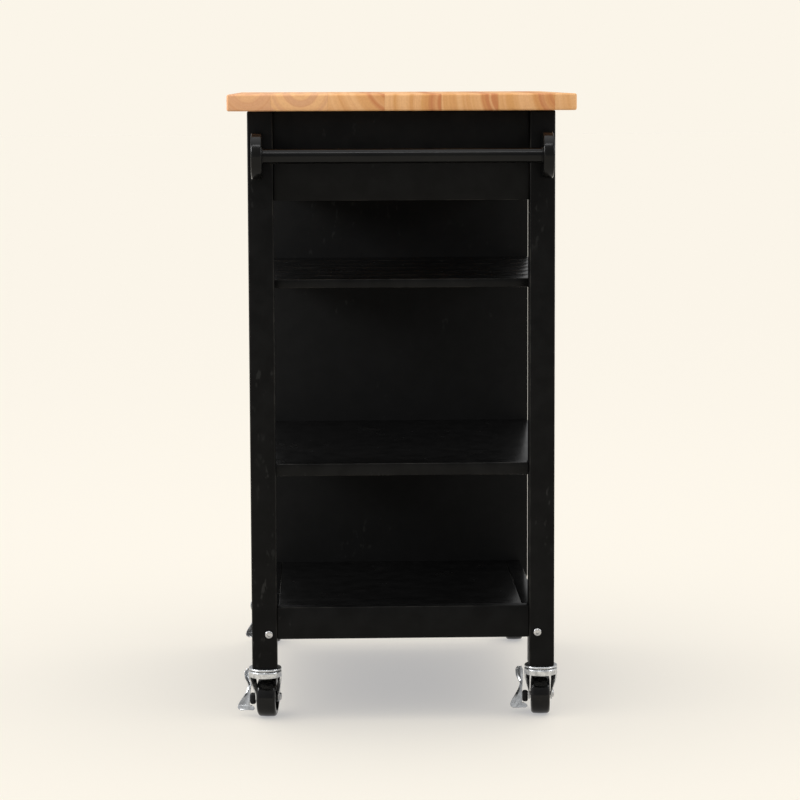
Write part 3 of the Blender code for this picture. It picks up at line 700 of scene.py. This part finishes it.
def lever_bmesh():
    """Pressed rocker: release ear, waist and pedal, smoothed between (height, outer, inner) stations."""
    bm = bmesh.new()
    columns = 6
    between = 3
    rows = []
    count = len(LEVER_STATIONS)
    for step in range((count - 1) * between + 1):
        place = step / between
        index = min(int(place), count - 2)
        part = place - index
        around = [LEVER_STATIONS[max(0, min(count - 1, index + offset))] for offset in (-1, 0, 1, 2)]
        height, outer, inner = [catmull(*(point[axis] for point in around), part) for axis in range(3)]
        row = []
        for column in range(columns + 1):
            share = column / columns
            dish = 0.0022 * share ** 2 - 0.0007 * math.sin(math.pi * share)
            across = inner + (outer - inner) * share
            row.append(bm.verts.new((across, LEVER_SLOPE * height - dish, height)))
        rows.append(row)
    for upper, lower in zip(rows, rows[1:]):
        for index in range(columns):
            bm.faces.new((upper[index], lower[index], lower[index + 1], upper[index + 1]))
    return bm


def catmull(before, start, end, after, part):
    """A smooth value between start and end."""
    linear = end - before
    square = 2 * before - 5 * start + 4 * end - after
    cubic = 3 * start - before - 3 * end + after
    return 0.5 * (2 * start + linear * part + square * part ** 2 + cubic * part ** 3)


def thicken(piece, thickness, offset):
    """Give sheet metal its thickness and eased rims."""
    solid = piece.modifiers.new("sheet", "SOLIDIFY")
    solid.thickness = thickness
    solid.offset = offset
    bevel = piece.modifiers.new("rims", "BEVEL")
    bevel.width = SHEET_RIM
    bevel.segments = 2
    bevel.limit_method = "ANGLE"
    bevel.angle_limit = math.radians(50)


def build_casters(zinc, steel, wheel_black, plastic):
    """Four casters in place of their CAD nodes."""
    for corner in CORNERS:
        place, axle_point = caster_place(corner)
        axle_place = Matrix.Translation(axle_point) @ place.to_3x3().to_4x4()
        swivel = f"swivel_{corner}"
        brake = f"brake_{corner}"
        disc_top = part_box(f"post_{corner}")[0][2]
        stem_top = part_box(f"caster_mount_{corner}")[1][2]
        mount = moved(mount_bmesh(disc_top, stem_top), place)
        make_piece(f"race_{corner}", mount, zinc, "caster_zinc", "cart",
                   f"caster_mount_{corner}", smooth=TURNED_CREASE)
        fork = make_piece(f"fork_{corner}", moved(fork_bmesh(), place), zinc, "caster_zinc", swivel,
                          f"caster_fork_{corner}", smooth=SHEET_CREASE)
        thicken(fork, SHEET, -1.0)
        make_piece(f"axle_{corner}", moved(axle_bmesh(), axle_place), steel, "bolt_steel", swivel,
                   f"caster_axle_{corner}", smooth=TURNED_CREASE)
        make_piece(f"wheel_{corner}", moved(wheel_bmesh(), axle_place), wheel_black, "wheel_black",
                   f"wheel_{corner}", f"caster_wheel_{corner}", smooth=WHEEL_CREASE)
        make_piece(f"cam_{corner}", moved(cam_bmesh(), axle_place), plastic, "cam_plastic", brake,
                   f"brake_cam_{corner}", smooth=TURNED_CREASE)
        lever = make_piece(f"lever_{corner}", moved(lever_bmesh(), axle_place), zinc, "caster_zinc",
                           brake, f"brake_lever_{corner}", smooth=SHEET_CREASE)
        thicken(lever, LEVER_SHEET, 0.0)


# ---------------------------------------------------------------- studio

CAMERA = {
    "place": (-0.1133, -3.9900, 0.9472),
    "yaw": -1.688,
    "pitch": -5.992,
    "roll": -0.214,
    "lens": 115.853,
    "shift_y": -0.0643,
}


def build_camera():
    """The end view, a little above the middle, with a long lens."""
    data = bpy.data.cameras.new("camera")
    camera = bpy.data.objects.new("camera", data)
    bpy.context.scene.collection.objects.link(camera)
    data.sensor_width = 36.0
    data.lens = CAMERA["lens"]
    data.shift_y = CAMERA["shift_y"]
    data.clip_end = 50.0
    pitch = math.radians(90.0 + CAMERA["pitch"])
    turn = Matrix.Rotation(math.radians(CAMERA["yaw"]), 4, "Z")
    tilt = Matrix.Rotation(pitch, 4, "X")
    roll = Matrix.Rotation(math.radians(CAMERA["roll"]), 4, "Z")
    camera.matrix_world = Matrix.Translation(CAMERA["place"]) @ turn @ tilt @ roll
    bpy.context.scene.camera = camera


def add_area(name, place, target, size, power, unlit=None):
    """A soft rectangular light aimed at a point; an unlit object is left to the sky."""
    data = bpy.data.lights.new(name, "AREA")
    data.shape = "RECTANGLE"
    data.size, data.size_y = size
    data.energy = power
    light = bpy.data.objects.new(name, data)
    bpy.context.scene.collection.objects.link(light)
    light.location = place
    if unlit is not None:
        receivers = bpy.data.collections.new(f"{name}_receivers")
        receivers.objects.link(unlit)
        receivers.collection_objects[0].light_linking.link_state = "EXCLUDE"
        light.light_linking.receiver_collection = receivers
    light.rotation_euler = (Vector(target) - Vector(place)).to_track_quat("-Z", "Y").to_euler()


FLOOR_REACH = 40.0
FLOOR_DROP = 0.0003
BACKDROP = colour(251, 245, 233)
FLOOR_GLOW = (0.39, 0.39, 0.40, 1.0)
SKY_BASE = 0.40
SKY_SIDES = 0.42
SKY_ABOVE = 1.20
SKY_LEFT_EXTRA = 0.20
SKY_ON_FLOOR = SKY_BASE + SKY_SIDES / 4 + SKY_ABOVE / 3 + SKY_LEFT_EXTRA * 2 / (3 * math.pi)
FLOOR_LIT = tuple(shown - glow for shown, glow in zip(BACKDROP[:3], FLOOR_GLOW))
FLOOR_SHADE = (*(part / SKY_ON_FLOOR for part in FLOOR_LIT), 1.0)


def build_floor():
    """A plain pale floor as wide as the view, whose glow keeps its shadows soft."""
    bm = bmesh.new()
    bmesh.ops.create_grid(bm, x_segments=8, y_segments=8, size=FLOOR_REACH)
    bmesh.ops.translate(bm, vec=(0.0, 0.0, -FLOOR_DROP), verts=bm.verts)
    mesh = bpy.data.meshes.new("floor")
    bm.to_mesh(mesh)
    bm.free()
    nodes = Nodes("studio_floor")
    mesh.materials.append(nodes.finish(
        Base_Color=FLOOR_SHADE, Roughness=0.9, Specular_IOR_Level=0.0,
        Emission_Color=FLOOR_GLOW, Emission_Strength=1.0))
    floor = bpy.data.objects.new("floor", mesh)
    bpy.context.scene.collection.objects.link(floor)
    return floor


def build_world():
    """Soft white light, strongest from above and the two sides, in front of a cream backdrop."""
    world = bpy.data.worlds.new("studio")
    bpy.context.scene.world = world
    nodes = Nodes("studio", world)
    direction = nodes.add("ShaderNodeTexCoord").outputs["Generated"]
    split = nodes.add("ShaderNodeSeparateXYZ", {"Vector": direction})
    sideways, upward = split.outputs[0], nodes.math("MAXIMUM", split.outputs[2], 0.0)
    sides = nodes.math("MULTIPLY", nodes.math("MULTIPLY", sideways, sideways), SKY_SIDES)
    left = nodes.math("MAXIMUM", nodes.math("MULTIPLY", sideways, -SKY_LEFT_EXTRA), 0.0)
    above = nodes.math("MULTIPLY_ADD", nodes.math("POWER", upward, 4.0), SKY_ABOVE, SKY_BASE)
    level = nodes.math("ADD", nodes.math("ADD", sides, left), above)
    light = nodes.add("ShaderNodeCombineColor", {0: level, 1: level, 2: level}).outputs[0]
    seen = nodes.add("ShaderNodeLightPath").outputs["Is Camera Ray"]
    shown = nodes.mix(seen, light, BACKDROP)
    nodes.put(nodes.tree.nodes["Background"].inputs["Color"], shown)


def build_studio():
    """Floor, backdrop and soft lights, the left one the stronger."""
    floor = build_floor()
    build_world()
    add_area("left_softbox", (-2.4, -0.5, 1.75), (0.0, 0.1, 0.55), (0.8, 0.8), 62.0, floor)
    add_area("right_softbox", (2.5, -0.5, 1.6), (0.0, 0.1, 0.5), (0.7, 0.7), 18.0, floor)
    add_area("overhead", (0.0, -0.3, 3.2), (0.0, -0.3, 0.0), (2.5, 2.5), 10.0)
    add_area("strip", (0.0, -1.7, 2.9), (0.0, -0.3, 0.8), (1.4, 0.25), 10.0, floor)
    bpy.context.scene.view_settings.view_transform = "Standard"


# ---------------------------------------------------------------- build

paints = {axis: black_paint(f"black_paint_{axis.lower()}", axis) for axis in "XYZ"}
# Lighter copies of the black paint, tone 10 on shelves, cleats and side rails against 4 on the frame: painted
# light, standing in for the light that reaches the shaded inside of the cart.
shelf_paints_painted_light = {
    axis: black_paint(f"shelf_paint_{axis.lower()}", axis, tone=10, roughness=0.16, relief=0.10)
    for axis in "XY"
}
# The back panel's paint is a lighter copy still, tone 25 against 4 on the frame: painted light on the shaded
# back wall of the bays.
panel_paint_painted_light = black_paint("panel_paint_painted_light", "Z", tone=25, roughness=0.50, sheen=0.02, spread=2)
coating = bar_coating()
zinc = plated("caster_zinc", (214, 216, 218), (176, 178, 180), 0.16, (40.0, 40.0, 700.0))
steel = plated("bolt_steel", (206, 206, 206), (160, 160, 162), 0.18, (500.0, 500.0, 60.0))

build_block(wood_block())
build_boards(paints, shelf_paints_painted_light, panel_paint_painted_light)
build_middle_shelf(shelf_paints_painted_light["X"])
build_towel_bar(coating)
build_bolts(steel)
build_casters(zinc, steel, gloss_wheel(), moulded_plastic())
build_studio()
build_camera()
